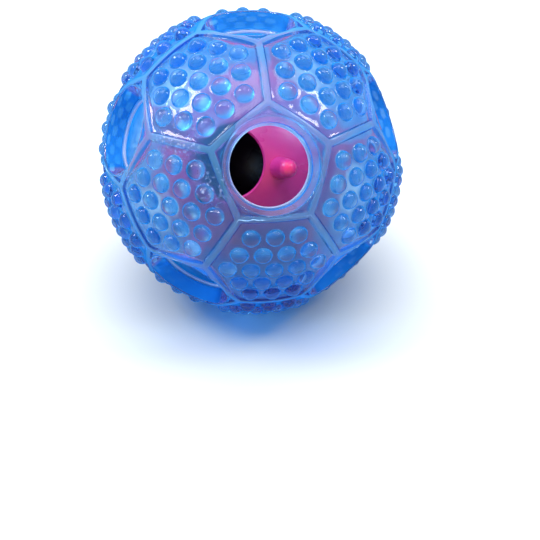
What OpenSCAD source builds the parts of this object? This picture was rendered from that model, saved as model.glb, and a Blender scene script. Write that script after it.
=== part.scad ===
// Treat dispensing ball: a clear rubber ball with soccer-ball panels and holes,
// round a hollow inner ball that turns freely and lets treats out of its own hole.
// Millimetres. The origin is the centre of both balls, and +Z points up through the top hole.
// The front hole looks towards -Y and upwards.

/* [Rubber shell] */
// Diameter over the smooth face of the panels
shell_d = 105; // [102:0.5:112]
// Thickness of the rubber wall
shell_wall = 6.8; // [5.6:0.1:8]

/* [Panel ribs] */
// Width of the rib along each edge between two panels
rib_w = 1.8; // [1.2:0.1:2.4]
// Height of the ribs above the panels
rib_h = 0.8; // [0.4:0.1:1.2]

/* [Nubs] */
// Diameter of a nub where it meets its panel
nub_d = 5.8; // [5:0.1:6.2]
// Height of a nub above its panel
nub_h = 2.5; // [1.6:0.1:2.6]
// Distance from one nub to the next
nub_pitch = 7.3; // [6.8:0.1:7.6]
// Rings of nubs round the middle one, so 2 rings are 19 nubs on each hexagon
nub_rings = 2; // [1:1:2]

/* [Shell holes] */
// Rubber left between a hole's rim and the middle of the ribs round its pentagon
hole_margin = 0.5; // [0.4:0.1:3]
// How far the hole's radius narrows on its way in
hole_flare = 2.3; // [1:0.1:2.6]
// Width of the flat land round a hole, which the ball stands on
land_w = 0.6; // [0.4:0.1:0.9]
// Height of the land above the panel at its edge
land_h = 0.7; // [0.3:0.05:0.9]
// Thickness of the round lip inside a hole's inner mouth
lip_d = 1.2; // [0.8:0.1:1.6]

/* [Inner ball] */
// Outer diameter of the inner ball
core_d = 70; // [62:0.5:76]
// Wall of the inner ball
core_wall = 2.2; // [1.6:0.1:3]
// Diameter of the treat hole
treat_hole_d = 22.2; // [16:0.2:23]
// Rounding of the treat hole's outer edge
treat_edge = 0.7; // [0.3:0.1:1]
// Direction of the treat hole, as an angle about the upright axis
treat_az = -112; // [-180:1:180]
// Angle of the treat hole above the level
treat_el = 28; // [-60:1:60]
// Length of the spigot that locates the two halves of the inner ball
spigot_l = 2.6; // [1.5:0.1:4]
// Thickness of that spigot
spigot_wall = 1.1; // [0.8:0.1:1.4]

/* [Spacer pegs] */
// Diameter of a peg at its domed tip
peg_d = 5.8; // [4:0.1:7]
// How far a peg's radius widens down to its foot
peg_draft = 0.7; // [0.3:0.1:1.2]
// Direction of the front peg, as an angle about the upright axis
peg_az = -81; // [-180:1:180]
// Angle of the front peg above the level
peg_el = 25; // [-60:1:60]
// Turn of the five pegs that ring the front peg, about its axis
peg_turn = 22; // [0:1:71]

/* [Clearances] */
// Running gap between the pegs' tips and the shell
peg_gap = 0.3; // [0.2:0.05:0.8]
// Gap round the spigot of the inner ball
spigot_gap = 0.1; // [0.05:0.05:0.2]

/* [Hidden] */
$fn = 96;
nub_fn = 24;
over = 1;

shell_r = shell_d / 2;
cavity_r = shell_r - shell_wall;
rib_r = shell_r + rib_h;
reach = shell_r + nub_h + over;
core_r = core_d / 2;
hollow_r = core_r - core_wall;
treat_r = treat_hole_d / 2;
spigot_r = hollow_r + spigot_wall;
peg_tip = cavity_r - peg_gap;
peg_r = peg_d / 2;
dome_steps = 6;

// Directions of the twelve pentagons: one at each pole and two rings of five
front_az = -90;
ring_el = atan(1 / 2);
fifth = 360 / 5;
turns = [0:4];
function dir(az, el) = [cos(el) * cos(az), cos(el) * sin(az), sin(el)];
function upper_az(k) = front_az + fifth * k;
function lower_az(k) = front_az + fifth * (k + 1 / 2);
function upper(k) = dir(upper_az(k), ring_el);
function lower(k) = dir(lower_az(k), -ring_el);
top = dir(0, 90);

// A vector at unit length, and the two angles that aim a piece along it
function unit(v) = v / norm(v);
function az_of(v) = atan2(v[1], v[0]);
function el_of(v) = asin(unit(v)[2]);
module aim(v) {
    rotate([0, 90 - el_of(v), az_of(v)]) children();
}

// Pentagons and hexagons of the upper half. Every hexagon lies between three pentagons.
pentagons = concat([top], [for (k = turns) upper(k)]);
other_pentagons = concat([-top], [for (k = turns) lower(k)]);
hexagons = concat(
    [for (k = turns) top + upper(k) + upper(k + 1)],
    [for (k = turns) upper(k) + upper(k + 1) + lower(k)]
);

// Angles from a panel's centre to the middle of its edges, from the ball with 32 panels
golden = (1 + sqrt(5)) / 2;
panel_corner = (2 * top + upper(0)) / 3;
hex_centre = (top + upper(0) + upper(1)) / 3;
pent_corner_angle = acos(unit(panel_corner) * top);
hex_corner_angle = acos(unit(panel_corner) * unit(hex_centre));
hex_sides = 6;
pent_sides = 5;
hex_turn = 180 / hex_sides;
rib_angle = asin(rib_w / 2 / shell_r);
function edge_angle(corner_angle, sides) = atan(tan(corner_angle) * cos(180 / sides));

// A hole fills its pentagon but for a margin, and narrows on its way in
rim_r = shell_r * sin(edge_angle(pent_corner_angle, pent_sides)) - hole_margin;
hole_r = rim_r - hole_flare;
land_r = rim_r + land_w;
land_z = sqrt(shell_r ^ 2 - land_r ^ 2) + land_h;
mouth_z = sqrt(cavity_r ^ 2 - hole_r ^ 2);

// The seam runs along panel edges: under each upper pentagon, down to the next lower
// pentagon, over it and up again, twenty edges in all.
function toward(a, b, share) = unit(a * (1 - share) + b * share);
near_share = 1 / 3;
seam = [for (k = turns) each [
    toward(upper(k), lower(k - 1), near_share),
    toward(upper(k), lower(k), near_share),
    toward(lower(k), upper(k), near_share),
    toward(lower(k), upper(k + 1), near_share)
]];
wedge_share = 3;
wedge_r = reach * wedge_share;

// Everything above the seam, as one closed wedge from the centre outwards
module above_seam() {
    count = len(seam);
    polyhedron(
        points = concat([[0, 0, 0], [0, 0, wedge_r]], seam * wedge_r),
        faces = concat(
            [for (i = [0:count - 1]) [0, 2 + i, 2 + (i + 1) % count]],
            [for (i = [0:count - 1]) [1, 2 + (i + 1) % count, 2 + i]]
        )
    );
}

// The sunk face of one panel, a straight-sided cone whose sides leave half a rib each
module panel_pit(corner_angle, sides, spin) {
    inner_angle = edge_angle(corner_angle, sides) - rib_angle;
    rotate([0, 0, spin])
        cylinder(h = reach, r1 = 0, r2 = reach * tan(inner_angle) / cos(180 / sides), $fn = sides);
}

module panel_pits() {
    difference() {
        union() {
            for (v = pentagons) aim(v) panel_pit(pent_corner_angle, pent_sides, v == top ? front_az : 0);
            for (v = hexagons) aim(v) panel_pit(hex_corner_angle, hex_sides, hex_turn);
        }
        sphere(shell_r);
    }
}

// One nub: a ball sunk into the panel until only its cap stands out
module nub() {
    ball_r = ((nub_d / 2) ^ 2 + nub_h ^ 2) / (2 * nub_h);
    translate([0, 0, shell_r + nub_h - ball_r]) sphere(ball_r, $fn = nub_fn);
}

// Nubs in rows of 3, 4, 5, 4 and 3, laid along the curve of the panel
module nub_patch() {
    for (a = [-nub_rings:nub_rings], b = [-nub_rings:nub_rings]) {
        spot = nub_pitch * [a + b / 2, b * sqrt(3) / 2];
        if (abs(a + b) <= nub_rings)
            rotate([0, norm(spot) / shell_r * 180 / PI, atan2(spot[1], spot[0])]) nub();
    }
}

// What a hole takes out: the flared bore, and all that stands above its land
module hole_cut() {
    rotate_extrude()
        polygon([
            [0, cavity_r - shell_wall],
            [hole_r, cavity_r - shell_wall],
            [hole_r, mouth_z],
            [rim_r, land_z],
            [land_r + rib_w + over, land_z],
            [land_r + rib_w + over, reach],
            [0, reach]
        ]);
}

module land() {
    translate([0, 0, mouth_z]) cylinder(h = land_z - mouth_z + over, r = land_r);
}

// The lip stands into the hole at its inner mouth, and stays clear of the pegs
module lip() {
    lip_r = lip_d / 2;
    rotate_extrude()
        translate([hole_r + lip_r / 3, mouth_z + lip_r])
            circle(lip_r, $fn = nub_fn);
}

// Half the shell, above the seam
module shell_half() {
    intersection() {
        above_seam();
        union() {
            difference() {
                union() {
                    difference() {
                        sphere(rib_r);
                        panel_pits();
                    }
                    for (v = hexagons) aim(v) rotate([0, 0, hex_turn]) nub_patch();
                    for (v = pentagons) aim(v) land();
                }
                sphere(cavity_r);
                for (v = concat(pentagons, other_pentagons)) aim(v) hole_cut();
            }
            for (v = pentagons) aim(v) lip();
        }
    }
}

module upper_shell() {
    color("dodgerblue", 0.6) shell_half();
}

// The lower half is the same moulding, turned over about a level line that swaps the two
module lower_shell() {
    swap_az = front_az + fifth / 4;
    color("royalblue", 0.6)
        rotate([0, 0, swap_az])
            rotate([180, 0, 0])
                rotate([0, 0, -swap_az])
                    shell_half();
}

// The inner ball is drawn with its front peg up, and then aimed
module core_pose() {
    aim(dir(peg_az, peg_el)) children();
}

module peg() {
    foot_z = core_r - core_wall / 2;
    rotate_extrude()
        polygon(concat(
            [[0, foot_z], [peg_r + peg_draft, foot_z]],
            [for (i = [0:dome_steps]) let (t = 90 * i / dome_steps)
                [peg_r * cos(t), peg_tip - peg_r + peg_r * sin(t)]]
        ));
}

// One peg at the pole and five round it. The pegs of both halves together are spread
// evenly over the ball, as far apart as the shell's twelve holes.
module pegs() {
    peg();
    for (k = turns) rotate([0, 90 - ring_el, peg_turn + fifth * k]) peg();
}

module half_ball(r, sign) {
    intersection() {
        sphere(r);
        translate([0, 0, sign * core_r]) cube(2 * core_r, center = true);
    }
}

// What the treat hole takes out, with a small chamfer at the outer edge
module treat_cut() {
    mouth_r = treat_r + treat_edge;
    edge_z = sqrt(core_r ^ 2 - mouth_r ^ 2);
    cylinder(h = core_r, r = treat_r);
    translate([0, 0, edge_z - treat_edge])
        cylinder(h = treat_edge + over, r1 = treat_r, r2 = mouth_r + over);
}

module core_front() {
    color("mediumvioletred")
        difference() {
            core_pose() {
                half_ball(core_r, 1);
                translate([0, 0, -spigot_l]) cylinder(h = spigot_l + over, r = spigot_r - spigot_gap);
                pegs();
            }
            sphere(hollow_r);
            aim(dir(treat_az, treat_el)) treat_cut();
        }
}

module core_back() {
    color("mediumvioletred")
        core_pose()
            difference() {
                union() {
                    half_ball(core_r, -1);
                    mirror([0, 0, 1]) rotate([0, 0, fifth / 2]) pegs();
                }
                sphere(hollow_r);
                translate([0, 0, -spigot_l - spigot_gap])
                    cylinder(h = spigot_l + spigot_gap + over, r = spigot_r);
            }
}

upper_shell();
lower_shell();
core_front();
core_back();
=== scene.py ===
# %% [markdown]
# A treat dispensing ball: a clear blue rubber shell with soccer-ball panels, nubs and
# round holes, over a glossy pink inner ball that turns inside it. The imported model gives
# the frame, and every piece made here sits in it, in metres.

# %% The frame
import itertools
import math

import bmesh
import bpy
from mathutils import Matrix, Vector, kdtree, noise
from mathutils.geometry import delaunay_2d_cdt


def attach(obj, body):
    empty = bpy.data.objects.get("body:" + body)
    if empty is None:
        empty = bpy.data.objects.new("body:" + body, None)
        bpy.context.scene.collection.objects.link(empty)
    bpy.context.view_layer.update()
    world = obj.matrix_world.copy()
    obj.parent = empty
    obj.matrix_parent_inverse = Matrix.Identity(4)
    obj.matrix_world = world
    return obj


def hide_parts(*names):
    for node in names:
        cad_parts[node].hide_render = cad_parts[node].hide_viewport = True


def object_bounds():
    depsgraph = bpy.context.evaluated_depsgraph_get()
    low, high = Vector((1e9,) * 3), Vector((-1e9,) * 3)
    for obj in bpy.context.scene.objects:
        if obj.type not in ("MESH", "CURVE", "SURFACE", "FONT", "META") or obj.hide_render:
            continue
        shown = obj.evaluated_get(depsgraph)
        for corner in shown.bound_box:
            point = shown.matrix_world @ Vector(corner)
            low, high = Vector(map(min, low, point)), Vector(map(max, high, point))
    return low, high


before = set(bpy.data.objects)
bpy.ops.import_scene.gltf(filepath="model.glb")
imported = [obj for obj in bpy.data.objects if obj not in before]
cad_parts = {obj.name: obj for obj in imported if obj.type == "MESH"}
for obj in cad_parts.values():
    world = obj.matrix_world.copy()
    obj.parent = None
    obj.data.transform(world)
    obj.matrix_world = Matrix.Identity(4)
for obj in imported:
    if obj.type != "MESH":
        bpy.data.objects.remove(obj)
CAD_BOX = [list(corner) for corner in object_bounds()]
print("nodes", sorted(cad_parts))
print("box in mm", [[round(1000 * x, 2) for x in corner] for corner in CAD_BOX])
MM = 0.001

# %% [markdown]
# The camera stands where the photograph's did: above the ball and in front of it, looking
# down at the front hole. Its lens is a little longer than the eye's, without any shift.

# %% The camera
CAMERA_PLACE = Vector((-26.3, -201.4, 103.5)) * MM
CAMERA_FORWARD = Vector((0.1317, 0.7906, -0.5980)).normalized()
CAMERA_UP = Vector((0.0867, 0.5917, 0.8015)).normalized()
LENS_MM = 40.39

camera_right = CAMERA_FORWARD.cross(CAMERA_UP).normalized()
camera_up = camera_right.cross(CAMERA_FORWARD)
camera_turn = Matrix((camera_right, camera_up, -CAMERA_FORWARD)).transposed()
camera_data = bpy.data.cameras.new("camera")
camera_data.lens = LENS_MM
camera_data.sensor_width = 36
camera_data.clip_start = 0.01
camera_data.clip_end = 20
camera = bpy.data.objects.new("camera", camera_data)
camera.matrix_world = Matrix.Translation(CAMERA_PLACE) @ camera_turn.to_4x4()
bpy.context.scene.collection.objects.link(camera)
bpy.context.scene.camera = camera
print("camera", [round(x, 4) for x in camera.location], "lens", LENS_MM)

# %% [markdown]
# Colours are written as a painter's hex values, and shaders want linear light, so one
# function turns them over. A second one adds a node: each setting is a property of it, or
# an input by its name or number, with a plain value or the output that feeds it.

# %% Helpers for colours and nodes
def linear(hex_colour):
    """A colour such as 3C8CE0 in sRGB, as linear red, green, blue and alpha."""
    channels = [int(hex_colour[i:i + 2], 16) / 255 for i in (0, 2, 4)]
    return [c / 12.92 if c <= 0.04045 else ((c + 0.055) / 1.055) ** 2.4 for c in channels] + [1]


def add_node(tree, kind, settings=None):
    """Adds a node with its properties, the values of its inputs and its links."""
    node = tree.nodes.new(kind)
    for name, value in (settings or {}).items():
        if not (isinstance(name, int) or name in node.inputs):
            setattr(node, name, value)
        elif isinstance(value, bpy.types.NodeSocket):
            tree.links.new(value, node.inputs[name])
        else:
            node.inputs[name].default_value = value
    return node


def new_material(name):
    """An empty material with its output node."""
    material = bpy.data.materials.new(name)
    material.use_nodes = True
    material.node_tree.nodes.clear()
    output = material.node_tree.nodes.new("ShaderNodeOutputMaterial")
    return material, material.node_tree, output


print("3C8CE0 in linear light is", [round(c, 3) for c in linear("3C8CE0")[:3]])


# %% [markdown]
# The shell has the 32 panels of the classic football: twelve pentagons, each with a round
# hole, and twenty hexagons, each with nineteen nubs. Where three pentagons meet lies one
# hexagon, so the twelve directions of the pentagons are all that has to be known. One
# could model a whole ball and cut it, but a single panel of each kind, drawn once with
# care and then laid twelve or twenty times, is lighter and keeps every nub the same.

# %% Directions of the panels
PANEL_R, CAVITY_R = 52.5, 45.7
TOP = Vector((0, 0, 1))
RING_HEIGHT = math.atan(1 / 2)


def direction(azimuth, height):
    """A unit vector at these angles in radians about the upright axis and above level."""
    return Vector((math.cos(height) * math.cos(azimuth),
                   math.cos(height) * math.sin(azimuth), math.sin(height)))


upper_pentagons = [TOP] + [
    direction(math.radians(-90 + 72 * k), RING_HEIGHT) for k in range(5)]
lower_pentagons = [-TOP] + [
    direction(math.radians(-54 + 72 * k), -RING_HEIGHT) for k in range(5)]
pentagons = upper_pentagons + lower_pentagons
NEIGHBOUR_COS = upper_pentagons[0].dot(upper_pentagons[1])
hexagons = [trio for trio in itertools.combinations(pentagons, 3)
            if all(a.dot(b) > NEIGHBOUR_COS - 0.01 for a, b in itertools.combinations(trio, 2))]
print(len(pentagons), "pentagons and", len(hexagons), "hexagons")

# %% [markdown]
# Every panel is laid out flat first, as if its piece of the ball were peeled off: a point
# keeps its direction from the panel's centre, and its distance along the ball. The edges
# of a panel are parts of great circles, so a line that keeps its distance from an edge
# follows from plain trigonometry, and neighbours share the same points along an edge.

# %% A panel's corners
corner = ((2 * TOP + upper_pentagons[1]) / 3).normalized()
hexagon_centre = sum(hexagons[0], Vector()).normalized()
PENTAGON_CORNER = corner.angle(TOP)
HEXAGON_CORNER = min(
    corner.angle(sum(trio, Vector()).normalized()) for trio in hexagons)
print("corners at", round(math.degrees(PENTAGON_CORNER), 2),
      round(math.degrees(HEXAGON_CORNER), 2), "degrees")

# %% Lines along a panel's edges
EDGE_STEPS = 16


def polar(azimuth, angle, radius):
    """A point by its angle from the panel's axis and its distance from the ball's centre."""
    return Vector((math.sin(angle) * math.cos(azimuth),
                   math.sin(angle) * math.sin(azimuth), math.cos(angle))) * radius


def edge_angle(sides, corner_angle):
    return math.atan(math.tan(corner_angle) * math.cos(math.pi / sides))


def line_along_edges(sides, corner_angle, first_edge, offset):
    """Directions all round a panel, at one distance in mm from its nearest edge."""
    edge = edge_angle(sides, corner_angle)
    half_edge = math.atan(math.tan(math.pi / sides) * math.sin(edge))
    line = []
    for side in range(sides):
        for step in range(EDGE_STEPS):
            along = half_edge * (2 * step / EDGE_STEPS - 1)
            swing = math.atan2(math.tan(along), math.sin(edge))
            lean = math.atan2(math.cos(edge) * math.cos(swing), math.sin(edge))
            reach = math.hypot(math.cos(edge) * math.cos(swing), math.sin(edge))
            angle = math.acos(math.sin(offset / PANEL_R) / reach) - lean
            line.append(polar(first_edge + side * 2 * math.pi / sides + swing, angle, 1))
    return line


def edge_distance(point, sides, corner_angle, first_edge):
    """How far a direction lies inside the panel's nearest edge, in mm."""
    edge = edge_angle(sides, corner_angle)
    return PANEL_R * min(math.asin(
        math.sin(edge) * point.z - math.cos(edge) * (
            point.x * math.cos(turn) + point.y * math.sin(turn)))
        for turn in [first_edge + side * 2 * math.pi / sides for side in range(sides)])


print("edges lie", round(math.degrees(edge_angle(5, PENTAGON_CORNER)), 2), "and",
      round(math.degrees(edge_angle(6, HEXAGON_CORNER)), 2), "degrees off the axis")

# %% [markdown]
# A raised rib runs along every edge, and the real one has soft shoulders, which is what
# makes it show as a pale band between two thin dark lines; the rubber's material adds a painted
# highlight to the band and painted shade to the lines. Round each hole the ribs are cut
# off level with a narrow flat land, which the ball stands on.

# %% Heights of the ribs and of the land
RIB_H, SHOULDER_IN, SHOULDER_OUT = 0.8, 0.85, 1.55
RIB_LINES = (0.85, 1.0, 1.2, 1.4, 1.55)
LAND_Z, LAND_R, LAND_EDGE = 51.0156, 14.986, 0.35


def soft_step(x):
    x = min(max(x, 0), 1)
    return x * x * (3 - 2 * x)


def rib_height(distance):
    return RIB_H * (1 - soft_step((distance - SHOULDER_IN) / (SHOULDER_OUT - SHOULDER_IN)))


def level_with_land(radius, angle):
    """Cuts a height off at the plane of the land round a hole."""
    return min(radius, LAND_Z / math.cos(angle)) if angle < PENTAGON_CORNER else radius


def pentagon_radius(point):
    angle = point.angle(TOP)
    rib = PANEL_R + rib_height(edge_distance(point, 5, PENTAGON_CORNER, math.pi / 5))
    plane = LAND_Z / math.cos(angle)
    across = LAND_Z * math.tan(angle)
    land = PANEL_R + (plane - PANEL_R) * (1 - soft_step((across - LAND_R) / LAND_EDGE))
    return level_with_land(max(rib, land), angle)


print("rib top", PANEL_R + RIB_H, "land at", LAND_Z, "mm")

# %% [markdown]
# A constrained triangulation fills the room between lines and dots with the best shaped
# triangles there are, so a panel needs only the lines that carry its shape. The flat
# pattern decides which points are joined, and the points themselves keep their true place.

# %% Filling a panel with triangles
def laid_flat(point):
    across = math.hypot(point.x, point.y)
    along = PANEL_R * math.atan2(across, point.z)
    return Vector((point.x, point.y)) * (along / across) if across else Vector((0, 0))


def lifted(spot):
    along = spot.length
    return polar(math.atan2(spot.y, spot.x), along / PANEL_R, 1)


def fill_panel(loops, lines, dots, radius_at, keep):
    """Points and triangles of a panel between closed loops, open lines and dots."""
    points, edges = [], []
    for chain, closed in [(loop, True) for loop in loops] + [(line, False) for line in lines]:
        first = len(points)
        points += chain
        edges += [(first + i, first + i + 1) for i in range(len(chain) - 1)]
        if closed:
            edges.append((first + len(chain) - 1, first))
    points += dots
    spots, _, faces, origins, _, _ = delaunay_2d_cdt(
        [laid_flat(p) for p in points], edges, [], 1, 1e-6, True)
    made = []
    for spot, origin in zip(spots, origins):
        if origin:
            made.append(points[origin[0]])
        else:
            made.append(lifted(spot) * radius_at(lifted(spot)))
    kept = [face for face in faces
            if keep(sum((spots[i] for i in face), Vector((0, 0))) / 3)]
    return made, kept


print("a spot 10 mm out lies", round(math.degrees(10 / PANEL_R), 1), "degrees off the axis")

# %% [markdown]
# A nub is a ball of rubber sunk into the panel, with a small fillet at its foot, as every
# mould leaves one. It works as a lens, so its curve has to be smooth: nine rings of 24
# points, close together where the curve is tight.

# %% The profile of a nub
NUB_BALL, NUB_SINK, NUB_FILLET = 2.93, 52.07, 0.4
NUB_POINTS = 24
fillet_z = ((PANEL_R + NUB_FILLET) ** 2 - (NUB_BALL + NUB_FILLET) ** 2 + NUB_SINK ** 2) / (
    2 * NUB_SINK)
fillet_r = math.sqrt((PANEL_R + NUB_FILLET) ** 2 - fillet_z ** 2)
lean_in = math.atan2(fillet_r, fillet_z - NUB_SINK)
lean_out = math.atan2(fillet_r, fillet_z)
nub_profile = [(NUB_BALL * math.sin(t), NUB_SINK + NUB_BALL * math.cos(t))
               for t in [lean_in * share for share in (0.2, 0.4, 0.58, 0.75, 0.89, 1)]]
for share in (1 / 3, 2 / 3, 1):
    t = lean_in + math.pi + (lean_out - lean_in) * share
    nub_profile.append((fillet_r + NUB_FILLET * math.sin(t),
                        fillet_z + NUB_FILLET * math.cos(t)))
print("nub rings", [(round(r, 2), round(z - PANEL_R, 2)) for r, z in nub_profile])

# %% A hexagon with its nineteen nubs
NUB_PITCH = 7.3
spots = [NUB_PITCH * Vector((a + b / 2, b * math.sqrt(3) / 2))
         for a in range(-2, 3) for b in range(-2, 3) if abs(a + b) <= 2]
nub_turn = Matrix.Rotation(math.radians(30), 2)
nub_loops, nub_tips = [], []
for spot in spots:
    centre = lifted(nub_turn @ spot)
    side = centre.orthogonal().normalized()
    other = centre.cross(side)
    nub_tips.append(centre * (NUB_SINK + NUB_BALL))
    for ring_r, ring_z in nub_profile:
        nub_loops.append([
            centre * ring_z + ring_r * (side * math.cos(t) + other * math.sin(t))
            for t in [2 * math.pi * i / NUB_POINTS for i in range(NUB_POINTS)]])

pentagon_axes = [polar(turn, hexagon_centre.angle(hexagons[0][0]), 1)
                 for turn in (0, 2 * math.pi / 3, 4 * math.pi / 3)]


def hexagon_edge_line(offset, radius):
    return [p * level_with_land(radius, min(p.angle(axis) for axis in pentagon_axes))
            for p in line_along_edges(6, HEXAGON_CORNER, 0, offset)]


hexagon_loops = [hexagon_edge_line(0, PANEL_R + RIB_H)] + [
    hexagon_edge_line(offset, PANEL_R + rib_height(offset)) for offset in RIB_LINES]
hexagon_patch = fill_panel(
    hexagon_loops + nub_loops, [], nub_tips, lambda p: PANEL_R, lambda spot: True)
print("a hexagon has", len(hexagon_patch[1]), "triangles")

# %% [markdown]
# A pentagon is nearly all hole. Only its five corners keep a small sunk triangle between
# the ribs and the round land, and its lines there are the ribs' shoulders and the land's
# edge. The rest of a hole is one profile turned about its axis: the rounded rim, the
# flared bore and the small lip at its mouth.

# %% Sizes of a hole
HOLE_POINTS = 120
RIM_R, MOUTH_R, MOUTH_Z, RIM_FILLET = 14.386, 12.086, 44.073, 0.5
LIP_R, LIP_ACROSS, LIP_Z = 0.6, 12.55, 44.673
bore = Vector((RIM_R - MOUTH_R, LAND_Z - MOUTH_Z)).normalized()
back_off = RIM_FILLET / math.tan((math.pi / 2 + math.asin(bore.x)) / 2)
rim_start = RIM_R + back_off
print("the rim starts at", round(rim_start, 2), "mm from the axis")

# %% A pentagon round its hole
def circle(across, z):
    return [Vector((across * math.cos(t), across * math.sin(t), z))
            for t in [2 * math.pi * i / HOLE_POINTS for i in range(HOLE_POINTS)]]


def kept_runs(points, wanted):
    """The parts of a closed line whose points are wanted, as open lines."""
    start = next(i for i, p in enumerate(points) if not wanted(p))
    runs = [[]]
    for p in points[start:] + points[:start]:
        if wanted(p):
            runs[-1].append(p)
        elif runs[-1]:
            runs.append([])
    return [run for run in runs if len(run) > 1]


pentagon_lines = []
for offset in RIB_LINES:
    pentagon_lines += kept_runs(
        line_along_edges(5, PENTAGON_CORNER, math.pi / 5, offset),
        lambda p: LAND_Z * math.tan(p.angle(TOP)) > rim_start + 0.1)
for across in (LAND_R, LAND_R + 0.12, LAND_R + 0.24, LAND_R + LAND_EDGE):
    pentagon_lines += kept_runs(
        [p.normalized() for p in circle(across, LAND_Z)],
        lambda p: edge_distance(p, 5, PENTAGON_CORNER, math.pi / 5) > 0.15)
pentagon_lines = [[p * pentagon_radius(p) for p in line] for line in pentagon_lines]
pentagon_edge = [p * level_with_land(PANEL_R + RIB_H, p.angle(TOP))
                 for p in line_along_edges(5, PENTAGON_CORNER, math.pi / 5, 0)]
rim_arc = laid_flat(Vector((rim_start, 0, LAND_Z))).length
pentagon_patch = fill_panel(
    [pentagon_edge, circle(rim_start, LAND_Z)], pentagon_lines, [], pentagon_radius,
    lambda spot: spot.length > rim_arc)
print("a pentagon has", len(pentagon_patch[1]), "triangles")

# %% The bore of a hole, with its rim and lip
rim_turn = math.pi / 2 + math.asin(bore.x)
rim_centre = Vector((rim_start, LAND_Z - RIM_FILLET))
bore_profile = [rim_centre + RIM_FILLET * Vector((-math.sin(t), math.cos(t)))
                for t in [(math.pi - rim_turn) * i / 5 for i in range(6)]]
lip_join = Vector((LIP_ACROSS, LIP_Z)) + bore * (LIP_R + 0.25)
for share in (0.25, 0.5, 0.75, 1):
    bore_profile.append(bore_profile[5].lerp(lip_join, share))
lip_profile = [lip_join] + [
    Vector((LIP_ACROSS, LIP_Z)) + LIP_R * Vector((-math.sin(t), math.cos(t)))
    for t in [math.radians(a) for a in (25, 45, 65, 85, 105, 125, 145, 165)]]
MOUTH_EDGE = 12.8
mouth_z = math.sqrt(CAVITY_R ** 2 - MOUTH_EDGE ** 2)
lip_profile.append(Vector((MOUTH_EDGE, mouth_z)))


def turned_profile(profile):
    points = [p for across, z in profile for p in circle(across, z)]
    faces = [(row * HOLE_POINTS + i, row * HOLE_POINTS + (i + 1) % HOLE_POINTS,
              (row + 1) * HOLE_POINTS + (i + 1) % HOLE_POINTS, (row + 1) * HOLE_POINTS + i)
             for row in range(len(profile) - 1) for i in range(HOLE_POINTS)]
    return points, faces


rim_patch = turned_profile(bore_profile[:6])
bore_patch = turned_profile(bore_profile[5:])
lip_foot_patch = turned_profile(lip_profile[:2])
lip_patch = turned_profile(lip_profile[1:6])
lip_back_patch = turned_profile(lip_profile[5:])
print("bore profile", [(round(p.x, 2), round(p.y, 2)) for p in bore_profile + lip_profile])

# %% The smooth inside of the shell
inner_dots = [lifted(nub_turn @ spot) * CAVITY_R for spot in spots]
hexagon_inside = fill_panel(
    [[p * CAVITY_R for p in line_along_edges(6, HEXAGON_CORNER, 0, offset)]
     for offset in (0, 2)], [], inner_dots, lambda p: CAVITY_R, lambda spot: True)
mouth_arc = laid_flat(Vector((MOUTH_EDGE, 0, mouth_z))).length
pentagon_inside = fill_panel(
    [[p * CAVITY_R for p in line_along_edges(5, PENTAGON_CORNER, math.pi / 5, 0)],
     circle(MOUTH_EDGE, mouth_z)], [], [], lambda p: CAVITY_R,
    lambda spot: spot.length > mouth_arc)
print("inside:", len(hexagon_inside[1]), "and", len(pentagon_inside[1]), "triangles")

# %% [markdown]
# The ball is moulded in two halves that meet along twenty edges of the panels. Each half
# becomes one closed skin. The halves are bonded, so no light bends where they touch: the
# faces inside the joint stand a hundredth of a millimetre apart and are left clear.

# %% Laying the panels out for one half
def panel_axes(centre, towards):
    side = (towards - towards.dot(centre) * centre).normalized()
    return Matrix((side, centre.cross(side), centre)).transposed()


OUTSIDE, INSIDE, BORE, LIP, BOND = range(5)


def panels_of_half(own):
    """Every patch of a half with its axes and the finish that its mould gave it."""
    placed = []
    for centre in own:
        near = max(pentagons, key=lambda p: p.dot(centre) if p != centre else -2)
        axes = panel_axes(centre, near)
        placed += [(pentagon_patch, axes, OUTSIDE), (rim_patch, axes, OUTSIDE),
                   (bore_patch, axes, BORE), (lip_foot_patch, axes, INSIDE),
                   (lip_patch, axes, LIP), (lip_back_patch, axes, INSIDE),
                   (pentagon_inside, axes, INSIDE)]
    for trio in hexagons:
        if sum(p in own for p in trio) > 1:
            axes = panel_axes(sum(trio, Vector()).normalized(), trio[0])
            placed += [(hexagon_patch, axes, OUTSIDE), (hexagon_inside, axes, INSIDE)]
    return placed


print("patches in a half", len(panels_of_half(upper_pentagons)))

# %% [markdown]
# The eye tells four skins on the rubber: the glossy outside, the satin inside, the bores and
# the crest of each lip, which carries a painted white glint. All of them stay one material,
# because the blue of the mass only counts while a ray is inside one and the same rubber. So
# each face carries a mark for its skin, and a second one says whether it lies on top of a rib,
# where a painted highlight goes, or at its foot, where painted shade goes.

# %% Marks for the skins and the ribs
FINISH_MARKS = [(0, 0, 0, 0), (1, 0, 0, 0), (0, 1, 0, 0), (0, 0, 1, 0), (0, 0, 0, 1)]
NO_RIB, RIB_TOP, RIB_FOOT = 0.0, 1.0, 0.5
TOP_REACH, FOOT_REACH = SHOULDER_IN + 0.15, SHOULDER_OUT + 0.1


def rib_marks(patch, sides, corner_angle, first_edge):
    """For each triangle of a panel, whether it lies on a rib's top or at its foot."""
    points, faces = patch
    marks = []
    for face in faces:
        middle = sum((points[i] for i in face), Vector()).normalized()
        inward = edge_distance(middle, sides, corner_angle, first_edge)
        marks.append(RIB_TOP if inward < TOP_REACH else
                     RIB_FOOT if inward < FOOT_REACH else NO_RIB)
    return marks


hexagon_ribs = rib_marks(hexagon_patch, 6, HEXAGON_CORNER, 0)
pentagon_ribs = rib_marks(pentagon_patch, 5, PENTAGON_CORNER, math.pi / 5)
print("a hexagon has", hexagon_ribs.count(RIB_TOP), "faces on rib tops and",
      hexagon_ribs.count(RIB_FOOT), "at their feet")

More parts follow.
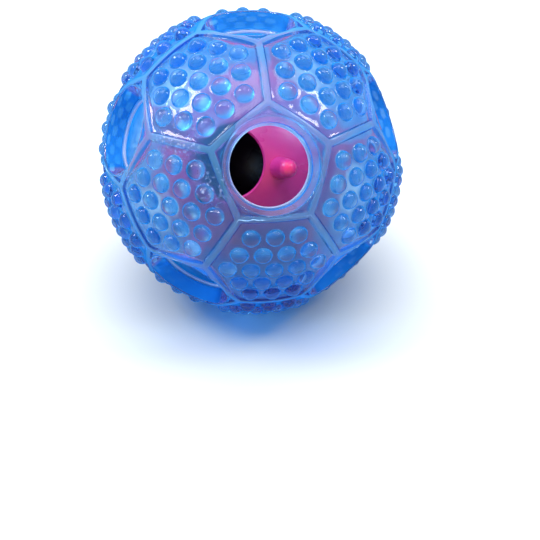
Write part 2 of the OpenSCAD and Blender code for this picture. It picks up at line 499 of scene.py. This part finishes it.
# %% [markdown]
# Where the halves meet, each one ends in a wall from the outer edge to the inner edge. Its
# outer edge has more points than the inner one, so each outer point looks for the inner
# point under it. Then both edges draw back a little, which makes the thin joint.

# %% Closing a half along the joint
BOND_GAP = 0.012
MID_WALL_R = 49


def close_joint(work):
    """Walls between the outer and inner edge of a half, and the line of the seam in mm."""
    rims = [edge for edge in work.edges if edge.is_boundary]
    outside = [edge for edge in rims if edge.verts[0].co.length > MID_WALL_R * MM]
    seam = [[tuple(v.co / MM) for v in edge.verts] for edge in outside]
    inner = list(dict.fromkeys(
        v for edge in rims for v in edge.verts if v.co.length < MID_WALL_R * MM))
    tree = kdtree.KDTree(len(inner))
    for i, v in enumerate(inner):
        tree.insert(v.co.normalized(), i)
    tree.balance()
    for edge in outside:
        a, b = edge.verts
        under = [inner[tree.find(v.co.normalized())[1]] for v in (a, b)]
        work.faces.new((a, b, under[1], under[0])).material_index = BOND
    shift = {}
    for edge in rims:
        edge.smooth = False
        skin = next(f for f in edge.link_faces if f.material_index != BOND)
        for v in edge.verts:
            shift[v] = shift.get(v, Vector()) + (skin.calc_center_median() - v.co)
    for v, way in shift.items():
        way -= way.dot(v.co.normalized()) * v.co.normalized()
        v.co += way.normalized() * BOND_GAP / 2 * MM
    return seam


print("gap in the joint", BOND_GAP, "mm")

# %% One half of the shell
def moulded_half(name, own):
    """One closed half from its panels, and the line of its seam."""
    points, faces, finishes, ribs = [], [], [], []
    for (patch_points, patch_faces), axes, finish in panels_of_half(own):
        first = len(points)
        points += [(axes @ p) * MM for p in patch_points]
        faces += [[first + i for i in face] for face in patch_faces]
        finishes += [finish] * len(patch_faces)
        if patch_faces is hexagon_patch[1]:
            ribs += hexagon_ribs
        elif patch_faces is pentagon_patch[1]:
            ribs += pentagon_ribs
        else:
            ribs += [NO_RIB] * len(patch_faces)
    mesh = bpy.data.meshes.new(name)
    mesh.from_pydata(points, [], faces)
    mesh.polygons.foreach_set("material_index", finishes)
    mesh.attributes.new("rib", "FLOAT", "FACE").data.foreach_set("value", ribs)
    work = bmesh.new()
    work.from_mesh(mesh)
    bmesh.ops.remove_doubles(work, verts=work.verts, dist=0.004 * MM)
    seam = close_joint(work)
    for face in work.faces:
        face.smooth = face.material_index != BOND
    bmesh.ops.recalc_face_normals(work, faces=work.faces)
    work.to_mesh(mesh)
    mark = mesh.attributes.new("finish", "FLOAT_COLOR", "FACE")
    for polygon, value in zip(mesh.polygons, mark.data):
        value.color = FINISH_MARKS[polygon.material_index]
        polygon.material_index = 0
    open_edges = sum(1 for edge in work.edges if len(edge.link_faces) != 2)
    print(name, len(work.faces), "faces,", open_edges, "open edges, volume",
          round(work.calc_volume() / MM ** 3), "cubic mm")
    work.free()
    half = bpy.data.objects.new(name, mesh)
    bpy.context.scene.collection.objects.link(half)
    return half, seam


# %% Both halves
upper_half, seam_edges = moulded_half("upper_shell_skin", upper_pentagons)
lower_half, _ = moulded_half("lower_shell_skin", lower_pentagons)
for half, node in ((upper_half, "upper_shell"), (lower_half, "lower_shell")):
    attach(half, "shell")
    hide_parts(node)

# %% [markdown]
# Where the two halves of a mould close, a little rubber creeps out and is trimmed off by
# hand. On the real ball this flash stands as a thin ragged line on the ribs of the seam.
# The seam's edges are strung into one closed line first, with points close enough for
# small teeth.

# %% The line of the seam
FLASH_STEPS = 4
links = {}
for a, b in seam_edges:
    links.setdefault(a, []).append(b)
    links.setdefault(b, []).append(a)
loop = [min(links)]
while len(loop) < len(links):
    loop.append(next(p for p in links[loop[-1]] if p not in loop[-2:] and p != loop[0]))
loop = [Vector(p) for p in loop]
fine = [loop[i - 1].lerp(loop[i], step / FLASH_STEPS)
        for i in range(len(loop)) for step in range(FLASH_STEPS)]
print("the seam has", len(loop), "points, and its flash", len(fine))

# %% [markdown]
# The flash is a ridge with three points across: two feet under the skin and a crest whose
# height wanders. Patches of it are trimmed away, and it is most ragged below the front hole,
# as on the real ball. Noise with a fixed place gives the same teeth each time.

# %% The flash
FLASH_WIDE, FLASH_LOW, FLASH_TEETH, FLASH_FOOT = 0.26, -0.04, 0.55, 0.07
RAGGED_EDGE = direction(math.radians(-90), math.radians(10))
flash_points, flash_faces = [], []
for i, here in enumerate(fine):
    up = here.normalized()
    along = (fine[(i + 1) % len(fine)] - fine[i - 1]).normalized()
    across = along.cross(up).normalized()
    near_front = 1 - soft_step((up.angle(RAGGED_EDGE) - 0.12) / 0.12)
    patchy = max(noise.noise(here / 8) + 0.12, near_front)
    tooth = abs(noise.noise(here / 0.9))
    height = FLASH_LOW + FLASH_TEETH * min(max(patchy, 0) * tooth * 3, 1)
    wander = (0.15 + 0.45 * near_front) * noise.noise(here / 1.6 + Vector((5, 0, 0)))
    flash_points += [here + across * (wander - FLASH_WIDE / 2) - up * FLASH_FOOT,
                     here + across * wander + up * height,
                     here + across * (wander + FLASH_WIDE / 2) - up * FLASH_FOOT]
    ring, following = 3 * i, 3 * ((i + 1) % len(fine))
    for k in range(3):
        flash_faces.append((ring + k, ring + (k + 1) % 3,
                            following + (k + 1) % 3, following + k))
flash_mesh = bpy.data.meshes.new("seam_flash")
flash_mesh.from_pydata([p * MM for p in flash_points], [], flash_faces)
work = bmesh.new()
work.from_mesh(flash_mesh)
bmesh.ops.recalc_face_normals(work, faces=work.faces)
print("flash:", len(work.faces), "faces,", sum(len(e.link_faces) != 2 for e in work.edges),
      "open edges, highest at", round(max(p.length for p in flash_points), 2), "mm")
work.to_mesh(flash_mesh)
work.free()
seam_flash = bpy.data.objects.new("seam_flash", flash_mesh)
bpy.context.scene.collection.objects.link(seam_flash)
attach(seam_flash, "shell")

# %% [markdown]
# The shell is a clear soft rubber, a TPR coloured blue in the mass and shot into polished
# moulds. Light goes through it, so its blue gets deeper with the way through the rubber.
# One could tint the surface only, but thick and thin places would then look the same, so
# the blue is a volume. The finish marks of the faces come in first.

# %% Clear blue rubber: what each face is
rubber, tree, output = new_material("clear_blue_tpr_rubber")
place = add_node(tree, "ShaderNodeTexCoord").outputs["Object"]
finish = add_node(tree, "ShaderNodeAttribute", {"attribute_name": "finish"})
inside, in_bore, lip_for_painted_glint = add_node(
    tree, "ShaderNodeSeparateColor", {"Color": finish.outputs["Color"]}).outputs
bonded_face = finish.outputs["Alpha"]
rib = add_node(tree, "ShaderNodeAttribute", {"attribute_name": "rib"}).outputs["Fac"]
on_rib = add_node(tree, "ShaderNodeMath", {
    "operation": "GREATER_THAN", 0: rib, 1: (RIB_TOP + RIB_FOOT) / 2})
# Faces at a rib's foot, where painted shade goes.
painted_shade_at_rib_foot = add_node(tree, "ShaderNodeMath", {
    "operation": "COMPARE", 0: rib, 1: RIB_FOOT, 2: 0.1})
print("rib marks", RIB_TOP, RIB_FOOT)

# %% [markdown]
# The outside has the gloss of the mould, with flow marks about 15 mm long and the fine
# waviness of steel that was polished by hand. The ribs are a little duller, from wear. The
# inside is satin, as the core of a mould leaves it, and that blurs what lies behind.

# %% Clear blue rubber: gloss
FLOW_MARK, SKIN_WAVE, WAVE_HEIGHT = 15 * MM, 2.4 * MM, 0.12 * MM
GLOSS_BEST, GLOSS_WORST, RIB_WEAR, SATIN = 0.03, 0.09, 0.16, 0.34
flow = add_node(tree, "ShaderNodeTexNoise", {
    "Scale": 1 / FLOW_MARK, "Detail": 3.0, "Vector": place}).outputs["Fac"]
skin = add_node(tree, "ShaderNodeTexNoise", {
    "Scale": 1 / SKIN_WAVE, "Detail": 2.0, "Vector": place})
waves = add_node(tree, "ShaderNodeBump", {
    "Strength": 0.25, "Distance": WAVE_HEIGHT, "Height": skin.outputs["Fac"]})
outer_roughness = add_node(tree, "ShaderNodeMapRange", {
    "To Min": GLOSS_BEST, "To Max": GLOSS_WORST, "Value": flow})
rib_roughness = add_node(tree, "ShaderNodeMath", {
    "operation": "MULTIPLY_ADD", 0: rib, 1: RIB_WEAR, 2: outer_roughness.outputs[0]})
roughness = add_node(tree, "ShaderNodeMix", {
    "Factor": inside, 2: rib_roughness.outputs[0], 3: SATIN})
print("roughness outside", GLOSS_BEST, "to", GLOSS_WORST, "and inside", SATIN)

# %% [markdown]
# Rubber of this kind bends light with an IOR of about 1.5. The real wall seems to be thinner
# than this one, which would bend what is seen too much, so 1.38 matches the photograph. The
# flared bore shows the inner ball nearly straight through, so its IOR is lower still.

# %% Clear blue rubber: the clear part
CLEAR_TINT, WALL_IOR, BORE_IOR = "F4FAF6", 1.38, 1.03
clear = add_node(tree, "ShaderNodeBsdfPrincipled", {
    "Base Color": linear(CLEAR_TINT), "IOR": WALL_IOR, "Transmission Weight": 1.0,
    "Roughness": roughness.outputs[0], "Normal": waves.outputs[0]})
thin_clear = add_node(tree, "ShaderNodeBsdfPrincipled", {
    "Base Color": linear(CLEAR_TINT), "IOR": BORE_IOR, "Transmission Weight": 1.0,
    "Roughness": 0.12})
clear_part = add_node(tree, "ShaderNodeMixShader", {
    "Fac": in_bore, 1: clear.outputs[0], 2: thin_clear.outputs[0]})
print("IOR of the wall", WALL_IOR, "and of the bore", BORE_IOR)

# %% [markdown]
# Close to the front hole some air was caught in the rubber. It shows as silvery specks in
# two patches. Each patch fades out from a point on the shell, and a noise with grains of
# about a millimetre picks the specks in it.

# %% Clear blue rubber: silvery specks
SPECK_GRAIN = 1.0 * MM
SPECK_PATCHES = (((-18.6, -46.2, 18.0), 7.5), ((-27, -36, 28.5), 9.5))
bubbles = add_node(tree, "ShaderNodeTexNoise", {
    "Scale": 1 / SPECK_GRAIN, "Detail": 2.0, "Vector": place})
bright = add_node(tree, "ShaderNodeMapRange", {
    "From Min": 0.56, "From Max": 0.66, "To Max": 0.8, "Value": bubbles.outputs["Fac"]})
patches = []
for spot, patch_size in SPECK_PATCHES:
    away = add_node(tree, "ShaderNodeVectorMath", {
        "operation": "DISTANCE", 0: place, 1: Vector(spot) * MM})
    patches.append(add_node(tree, "ShaderNodeMapRange", {
        "From Min": patch_size * 0.4 * MM, "From Max": patch_size * MM, "To Min": 1.0,
        "To Max": 0.0, "Value": away.outputs["Value"]}))
either = add_node(tree, "ShaderNodeMath", {
    "operation": "MAXIMUM", 0: patches[0].outputs[0], 1: patches[1].outputs[0]})
specks = add_node(tree, "ShaderNodeMath", {
    "operation": "MULTIPLY", 0: bright.outputs[0], 1: either.outputs[0]}).outputs[0]
print("patches with specks", len(patches))

# %% [markdown]
# Soft rubber is never quite clear: it has a milkiness that catches light from the front and
# lets some through. Two masks go by the angle of view. One lays a painted highlight on the
# ribs, palest where they face the eye. The other lays a lilac painted reflection of the pink
# inner ball on the satin bore, at a flat angle.

# %% Clear blue rubber: masks by the angle of view
angle_of_view = add_node(tree, "ShaderNodeLayerWeight", {"Blend": 0.5}).outputs["Facing"]
facing_us = add_node(tree, "ShaderNodeMapRange", {
    "From Min": 0.3, "From Max": 0.75, "To Min": 1.0, "To Max": 0.3, "Value": angle_of_view})
flat_angle = add_node(tree, "ShaderNodeMapRange", {
    "From Min": 0.44, "From Max": 0.62, "Value": angle_of_view})
# Painted highlight on the rib tops, palest where they face the eye.
painted_highlight_on_rib = add_node(tree, "ShaderNodeMath", {
    "operation": "MULTIPLY", 0: on_rib.outputs[0], 1: facing_us.outputs[0]})
# Painted reflection of the pink inner ball in the bore at a flat angle.
painted_reflection_in_bore = add_node(tree, "ShaderNodeMath", {
    "operation": "MULTIPLY", 0: in_bore, 1: flat_angle.outputs[0]})
print("nodes so far", len(tree.nodes))

# %% [markdown]
# The milkiness is blue in the panels. Over it go a pale painted highlight on the ribs, painted
# shade at their feet, the white of the silvery specks, blue in the bores, a lilac painted
# reflection of the pink in the bores at a flat angle, and a nearly white painted glint on the
# lips. Each colour is laid over the one before by a Mix node. Half of the light comes back
# and half goes through.

# %% Clear blue rubber: colours of the milkiness
# The pale rib colour is a painted highlight, the dark foot colour painted shade, the lilac a
# painted reflection of the pink, and the white a painted glint on the lips, which the real
# specks share.
CLOUD_BLUE, RIB_PAINTED_HIGHLIGHT, RIB_FOOT_PAINTED_SHADE = "30A4EA", "84D0FC", "1450A4"
BORE_BLUE, BORE_PAINTED_REFLECTION, PAINTED_LIP_GLINT_AND_SPECK_WHITE = "309AEE", "D8A8C8", "F0ECFC"
cloud_colour = linear(CLOUD_BLUE)
for where, hex_colour in ((painted_highlight_on_rib.outputs[0], RIB_PAINTED_HIGHLIGHT), (painted_shade_at_rib_foot.outputs[0], RIB_FOOT_PAINTED_SHADE),
                          (specks, PAINTED_LIP_GLINT_AND_SPECK_WHITE), (in_bore, BORE_BLUE),
                          (painted_reflection_in_bore.outputs[0], BORE_PAINTED_REFLECTION), (lip_for_painted_glint, PAINTED_LIP_GLINT_AND_SPECK_WHITE)):
    cloud_colour = add_node(tree, "ShaderNodeMix", {
        "data_type": "RGBA", 0: where, 6: cloud_colour, 7: linear(hex_colour)}).outputs[2]
cloud_front = add_node(tree, "ShaderNodeBsdfDiffuse", {"Color": cloud_colour})
cloud_through = add_node(tree, "ShaderNodeBsdfTranslucent", {"Color": cloud_colour})
cloud = add_node(tree, "ShaderNodeMixShader", {
    "Fac": 0.5, 1: cloud_front.outputs[0], 2: cloud_through.outputs[0]})
print("nodes so far", len(tree.nodes))

# %% [markdown]
# How milky a place looks goes with the flow marks, and grows towards a flat angle, where
# the eye looks along the rubber. Ribs and the satin inside have more of it. A satin bore is
# the other way round: milky when seen straight on, and nearly clear at a flat angle.

# %% Clear blue rubber: strength of the milkiness
RIB_MILK, INSIDE_MILK, LIP_PAINTED_GLINT_SHARE = 0.27, 0.12, 0.65
in_panels = add_node(tree, "ShaderNodeMapRange", {
    "From Min": 0.3, "From Max": 0.7, "To Min": 0.07, "To Max": 0.2, "Value": flow})
at_edges = add_node(tree, "ShaderNodeMapRange", {
    "From Min": 0.4, "From Max": 0.85, "To Min": 0.0, "To Max": 0.72,
    "Value": angle_of_view})
bore_satin = add_node(tree, "ShaderNodeMapRange", {
    "From Min": 0.3, "From Max": 0.7, "To Min": 0.72, "To Max": -0.42,
    "Value": angle_of_view})
milk = add_node(tree, "ShaderNodeMath", {
    "operation": "ADD", 0: in_panels.outputs[0], 1: at_edges.outputs[0]})
for mask, share in ((rib, RIB_MILK), (inside, INSIDE_MILK),
                    (in_bore, bore_satin.outputs[0]), (specks, 1.0)):
    milk = add_node(tree, "ShaderNodeMath", {
        "operation": "MULTIPLY_ADD", 0: mask, 1: share, 2: milk.outputs[0]})
# On the lips the painted white glint takes this fixed share.
cloudiness = add_node(tree, "ShaderNodeMix", {
    "Factor": lip_for_painted_glint, 2: milk.outputs[0], 3: LIP_PAINTED_GLINT_SHARE})
body = add_node(tree, "ShaderNodeMixShader", {
    "Fac": cloudiness.outputs[0], 1: clear_part.outputs[0], 2: cloud.outputs[0]})
print("milk on ribs, inside and lips", RIB_MILK, INSIDE_MILK, LIP_PAINTED_GLINT_SHARE)

# %% [markdown]
# A renderer can't find a lamp through glass that bends light, so the shadow of clear rubber
# would be black. For shadow rays alone the rubber is a tinted film instead, and lamps shine
# in with a bluish light. The glued joint between the halves bends no light at all. The
# blue itself is the absorption on the way through: 12 mm of rubber leave a third of the
# red, two thirds of the green and nearly all of the blue.

# %% Clear blue rubber: depth, and all parts together
DEEP_BLUE, DEPTH_PER_M, LAMP_LIGHT_THROUGH = "40D2F4", 96.0, "D8ECF8"
path = add_node(tree, "ShaderNodeLightPath")
lets_light_in = add_node(tree, "ShaderNodeBsdfTransparent", {
    "Color": linear(LAMP_LIGHT_THROUGH)})
surface = add_node(tree, "ShaderNodeMixShader", {
    "Fac": path.outputs["Is Shadow Ray"], 1: body.outputs[0], 2: lets_light_in.outputs[0]})
no_surface = add_node(tree, "ShaderNodeBsdfTransparent")
bonded = add_node(tree, "ShaderNodeMixShader", {
    "Fac": bonded_face, 1: surface.outputs[0], 2: no_surface.outputs[0]})
depth = add_node(tree, "ShaderNodeVolumeAbsorption", {
    "Color": linear(DEEP_BLUE), "Density": DEPTH_PER_M})
tree.links.new(bonded.outputs[0], output.inputs["Surface"])
tree.links.new(depth.outputs[0], output.inputs["Volume"])
for half in (upper_half, lower_half):
    half.data.materials.append(rubber)
print("12 mm of rubber leave", [round(math.exp(-0.012 * DEPTH_PER_M * (1 - c)), 2)
                               for c in linear(DEEP_BLUE)[:3]])

# %% [markdown]
# The flash is the same rubber, but torn and cut. A torn edge is full of tiny faces that
# scatter the light, so it is pale and sparkles here and there, and where it was trimmed
# short it hardly shows.

# %% Torn rubber of the flash
TORN_BLUE, TORN_PALE, TORN_GRAIN, TRIM_MARK = "4C94DC", "C8F0FC", 0.9 * MM, 6 * MM
torn, tree, output = new_material("torn_blue_tpr_rubber")
place = add_node(tree, "ShaderNodeTexCoord").outputs["Object"]
tears = add_node(tree, "ShaderNodeTexNoise", {
    "Scale": 1 / TORN_GRAIN, "Detail": 1.0, "Vector": place})
pale = add_node(tree, "ShaderNodeMix", {
    "data_type": "RGBA", 0: tears.outputs["Fac"], 6: linear(TORN_BLUE),
    7: linear(TORN_PALE)})
edge = add_node(tree, "ShaderNodeBsdfPrincipled", {
    "Roughness": 0.3, "IOR": 1.45, "Base Color": pale.outputs[2]})
trimmed = add_node(tree, "ShaderNodeTexNoise", {
    "Scale": 1 / TRIM_MARK, "Detail": 2.0, "Vector": place})
left_over = add_node(tree, "ShaderNodeMapRange", {
    "From Min": 0.42, "From Max": 0.6, "To Min": 0.12, "To Max": 0.85,
    "Value": trimmed.outputs["Fac"]})
nothing = add_node(tree, "ShaderNodeBsdfTransparent")
ragged = add_node(tree, "ShaderNodeMixShader", {
    "Fac": left_over.outputs[0], 1: nothing.outputs[0], 2: edge.outputs[0]})
tree.links.new(ragged.outputs[0], output.inputs["Surface"])
seam_flash.data.materials.append(torn)
print("torn rubber on", seam_flash.name)

# %% [markdown]
# The inner ball is glossy pink polypropylene, moulded in two halves. It is opaque, bright
# and a little cloudy in its gloss where the plastic flowed, over marks about 11 mm long. A
# grain of 1.2 mm breaks its reflections up, drawn coarser than the real one so that it
# shows. Its inside is painted dark, as painted shade for the shade in its hollow, so the
# treat hole shows nearly black.

# %% Glossy pink plastic: colours
PLASTIC_PINK, PLASTIC_PINK_WORN, PLASTIC_INSIDE_PAINTED_SHADE = "FC2C6C", "F02E78", "4C1C34"
PLASTIC_FLOW, PLASTIC_GRAIN, GRAIN_HEIGHT = 11 * MM, 1.2 * MM, 0.05 * MM
CORE_INNER_R = 33.6 * MM
plastic, tree, output = new_material("glossy_pink_pp_plastic")
place = add_node(tree, "ShaderNodeTexCoord").outputs["Object"]
flow = add_node(tree, "ShaderNodeTexNoise", {
    "Scale": 1 / PLASTIC_FLOW, "Detail": 3.0, "Vector": place}).outputs["Fac"]
pink = add_node(tree, "ShaderNodeMix", {
    "data_type": "RGBA", 0: flow, 6: linear(PLASTIC_PINK), 7: linear(PLASTIC_PINK_WORN)})
from_centre = add_node(tree, "ShaderNodeVectorMath", {"operation": "LENGTH", 0: place})
# Painted shade: below this radius the inner ball is painted dark.
inside_painted_shade = add_node(tree, "ShaderNodeMath", {
    "operation": "LESS_THAN", 0: from_centre.outputs["Value"], 1: CORE_INNER_R})
colour = add_node(tree, "ShaderNodeMix", {
    "data_type": "RGBA", 0: inside_painted_shade.outputs[0], 6: pink.outputs[2],
    7: linear(PLASTIC_INSIDE_PAINTED_SHADE)})
print("inside of the inner ball under", round(CORE_INNER_R / MM, 1), "mm")

# %% Glossy pink plastic: gloss
gloss = add_node(tree, "ShaderNodeMapRange", {
    "To Min": 0.2, "To Max": 0.38, "Value": flow})
grain = add_node(tree, "ShaderNodeTexNoise", {
    "Scale": 1 / PLASTIC_GRAIN, "Detail": 2.0, "Vector": place})
texture = add_node(tree, "ShaderNodeBump", {
    "Strength": 0.12, "Distance": GRAIN_HEIGHT, "Height": grain.outputs["Fac"]})
moulded_skin = add_node(tree, "ShaderNodeBsdfPrincipled", {
    "IOR": 1.49, "Base Color": colour.outputs[2], "Roughness": gloss.outputs[0],
    "Normal": texture.outputs[0]})
tree.links.new(moulded_skin.outputs[0], output.inputs["Surface"])
for name in ("core_front", "core_back"):
    core_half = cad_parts[name].data
    core_half.materials.clear()
    core_half.materials.append(plastic)
    print(name, len(core_half.polygons), "faces in pink")

# %% [markdown]
# The card and the bright room are white for what the eye sees, in mirrors and through
# rubber too. Light that has bounced off a matt surface must not see them, or they would
# light the ball as strong lamps. One mask says which is which.

# %% What the eye sees
def seen_by_the_eye(tree):
    """1 for what is seen directly, mirrored or through rubber, and 0 for bounced light."""
    path = add_node(tree, "ShaderNodeLightPath").outputs
    direct = add_node(tree, "ShaderNodeMath", {
        "operation": "MAXIMUM", 0: path["Is Camera Ray"], 1: path["Is Glossy Ray"]})
    seen = add_node(tree, "ShaderNodeMath", {
        "operation": "MAXIMUM", 0: direct.outputs[0], 1: path["Is Transmission Ray"]})
    no_bounce = add_node(tree, "ShaderNodeMath", {
        "operation": "LESS_THAN", 0: path["Diffuse Depth"], 1: 0.5})
    return add_node(tree, "ShaderNodeMath", {
        "operation": "MULTIPLY", 0: seen.outputs[0], 1: no_bounce.outputs[0]}).outputs[0]


# %% [markdown]
# The ball lies on white card that runs out of sight. The card glows with painted light that
# grows with the distance from the ball, as a photographer lights the far end of a sweep, so
# near the ball it is painted darker and keeps the soft bluish shadow. The painted light is
# only seen, and adds nothing to the light on the ball.

# %% White card under the ball
FLOOR_Z = CAD_BOX[0][2]
CARD_GREY, CARD_PAINTED_LIGHT = "A4ACB4", "F4FAFF"
LIFT_FROM, LIFT_TO = 35 * MM, 105 * MM
bpy.ops.mesh.primitive_plane_add(size=6, location=(0, 0, FLOOR_Z))
floor = bpy.context.object
floor.name = "floor"
card, tree, output = new_material("white_card")
place = add_node(tree, "ShaderNodeTexCoord").outputs["Object"]
reach = add_node(tree, "ShaderNodeVectorMath", {"operation": "LENGTH", 0: place})
# Painted light: the card glows more the farther it lies from the ball, so it stays darker near
# it.
lift = add_node(tree, "ShaderNodeMapRange", {
    "From Min": LIFT_FROM, "From Max": LIFT_TO, "To Min": 0.0, "To Max": 1.0,
    "Value": reach.outputs["Value"]})
painted_light_seen = add_node(tree, "ShaderNodeMath", {
    "operation": "MULTIPLY", 0: lift.outputs[0], 1: seen_by_the_eye(tree)})
matt = add_node(tree, "ShaderNodeBsdfPrincipled", {
    "Base Color": linear(CARD_GREY), "Roughness": 0.8, "Emission Color": linear(CARD_PAINTED_LIGHT),
    "Emission Strength": painted_light_seen.outputs[0]})
tree.links.new(matt.outputs[0], output.inputs["Surface"])
floor.data.materials.append(card)
print("card at", round(FLOOR_Z / MM, 2), "mm")

# %% [markdown]
# Two softboxes stand in the photograph's reflections, a strong one at the left and a weaker
# one at the right, and a third one hangs above. The bright room fills the rest: it is seen
# white, and lights the ball with about a quarter of that.

# %% The bright room
WORLD_LIGHT = 0.28
world = bpy.data.worlds.new("studio")
bpy.context.scene.world = world
world.use_nodes = True
tree = world.node_tree
sky = tree.nodes["Background"]
sky.inputs["Color"].default_value = (1, 1, 1, 1)
strength = add_node(tree, "ShaderNodeMapRange", {
    "To Min": WORLD_LIGHT, "To Max": 1.0, "Value": seen_by_the_eye(tree)})
tree.links.new(strength.outputs[0], sky.inputs["Strength"])
print("room lights the ball with", WORLD_LIGHT)


# %% The softboxes
def softbox(name, azimuth, height, distance, size, watts):
    """A square soft lamp that looks at the ball, by its angles in degrees."""
    lamp = bpy.data.lights.new(name, "AREA")
    lamp.shape = "SQUARE"
    lamp.size = size
    lamp.energy = watts
    box = bpy.data.objects.new(name, lamp)
    place = direction(math.radians(azimuth), math.radians(height)) * distance
    turn = place.to_track_quat("Z", "Y").to_matrix().to_4x4()
    box.matrix_world = Matrix.Translation(place) @ turn
    bpy.context.scene.collection.objects.link(box)
    print(name, "level", round(watts / (math.pi * distance) ** 2, 2))


softbox("left_softbox", 178, 50, 0.6, 0.2, 3.0)
softbox("right_softbox", -17, 50, 0.6, 0.16, 1.9)
softbox("top_softbox", -90, 80, 0.8, 0.5, 4.2)
bpy.context.scene.view_settings.view_transform = "Standard"
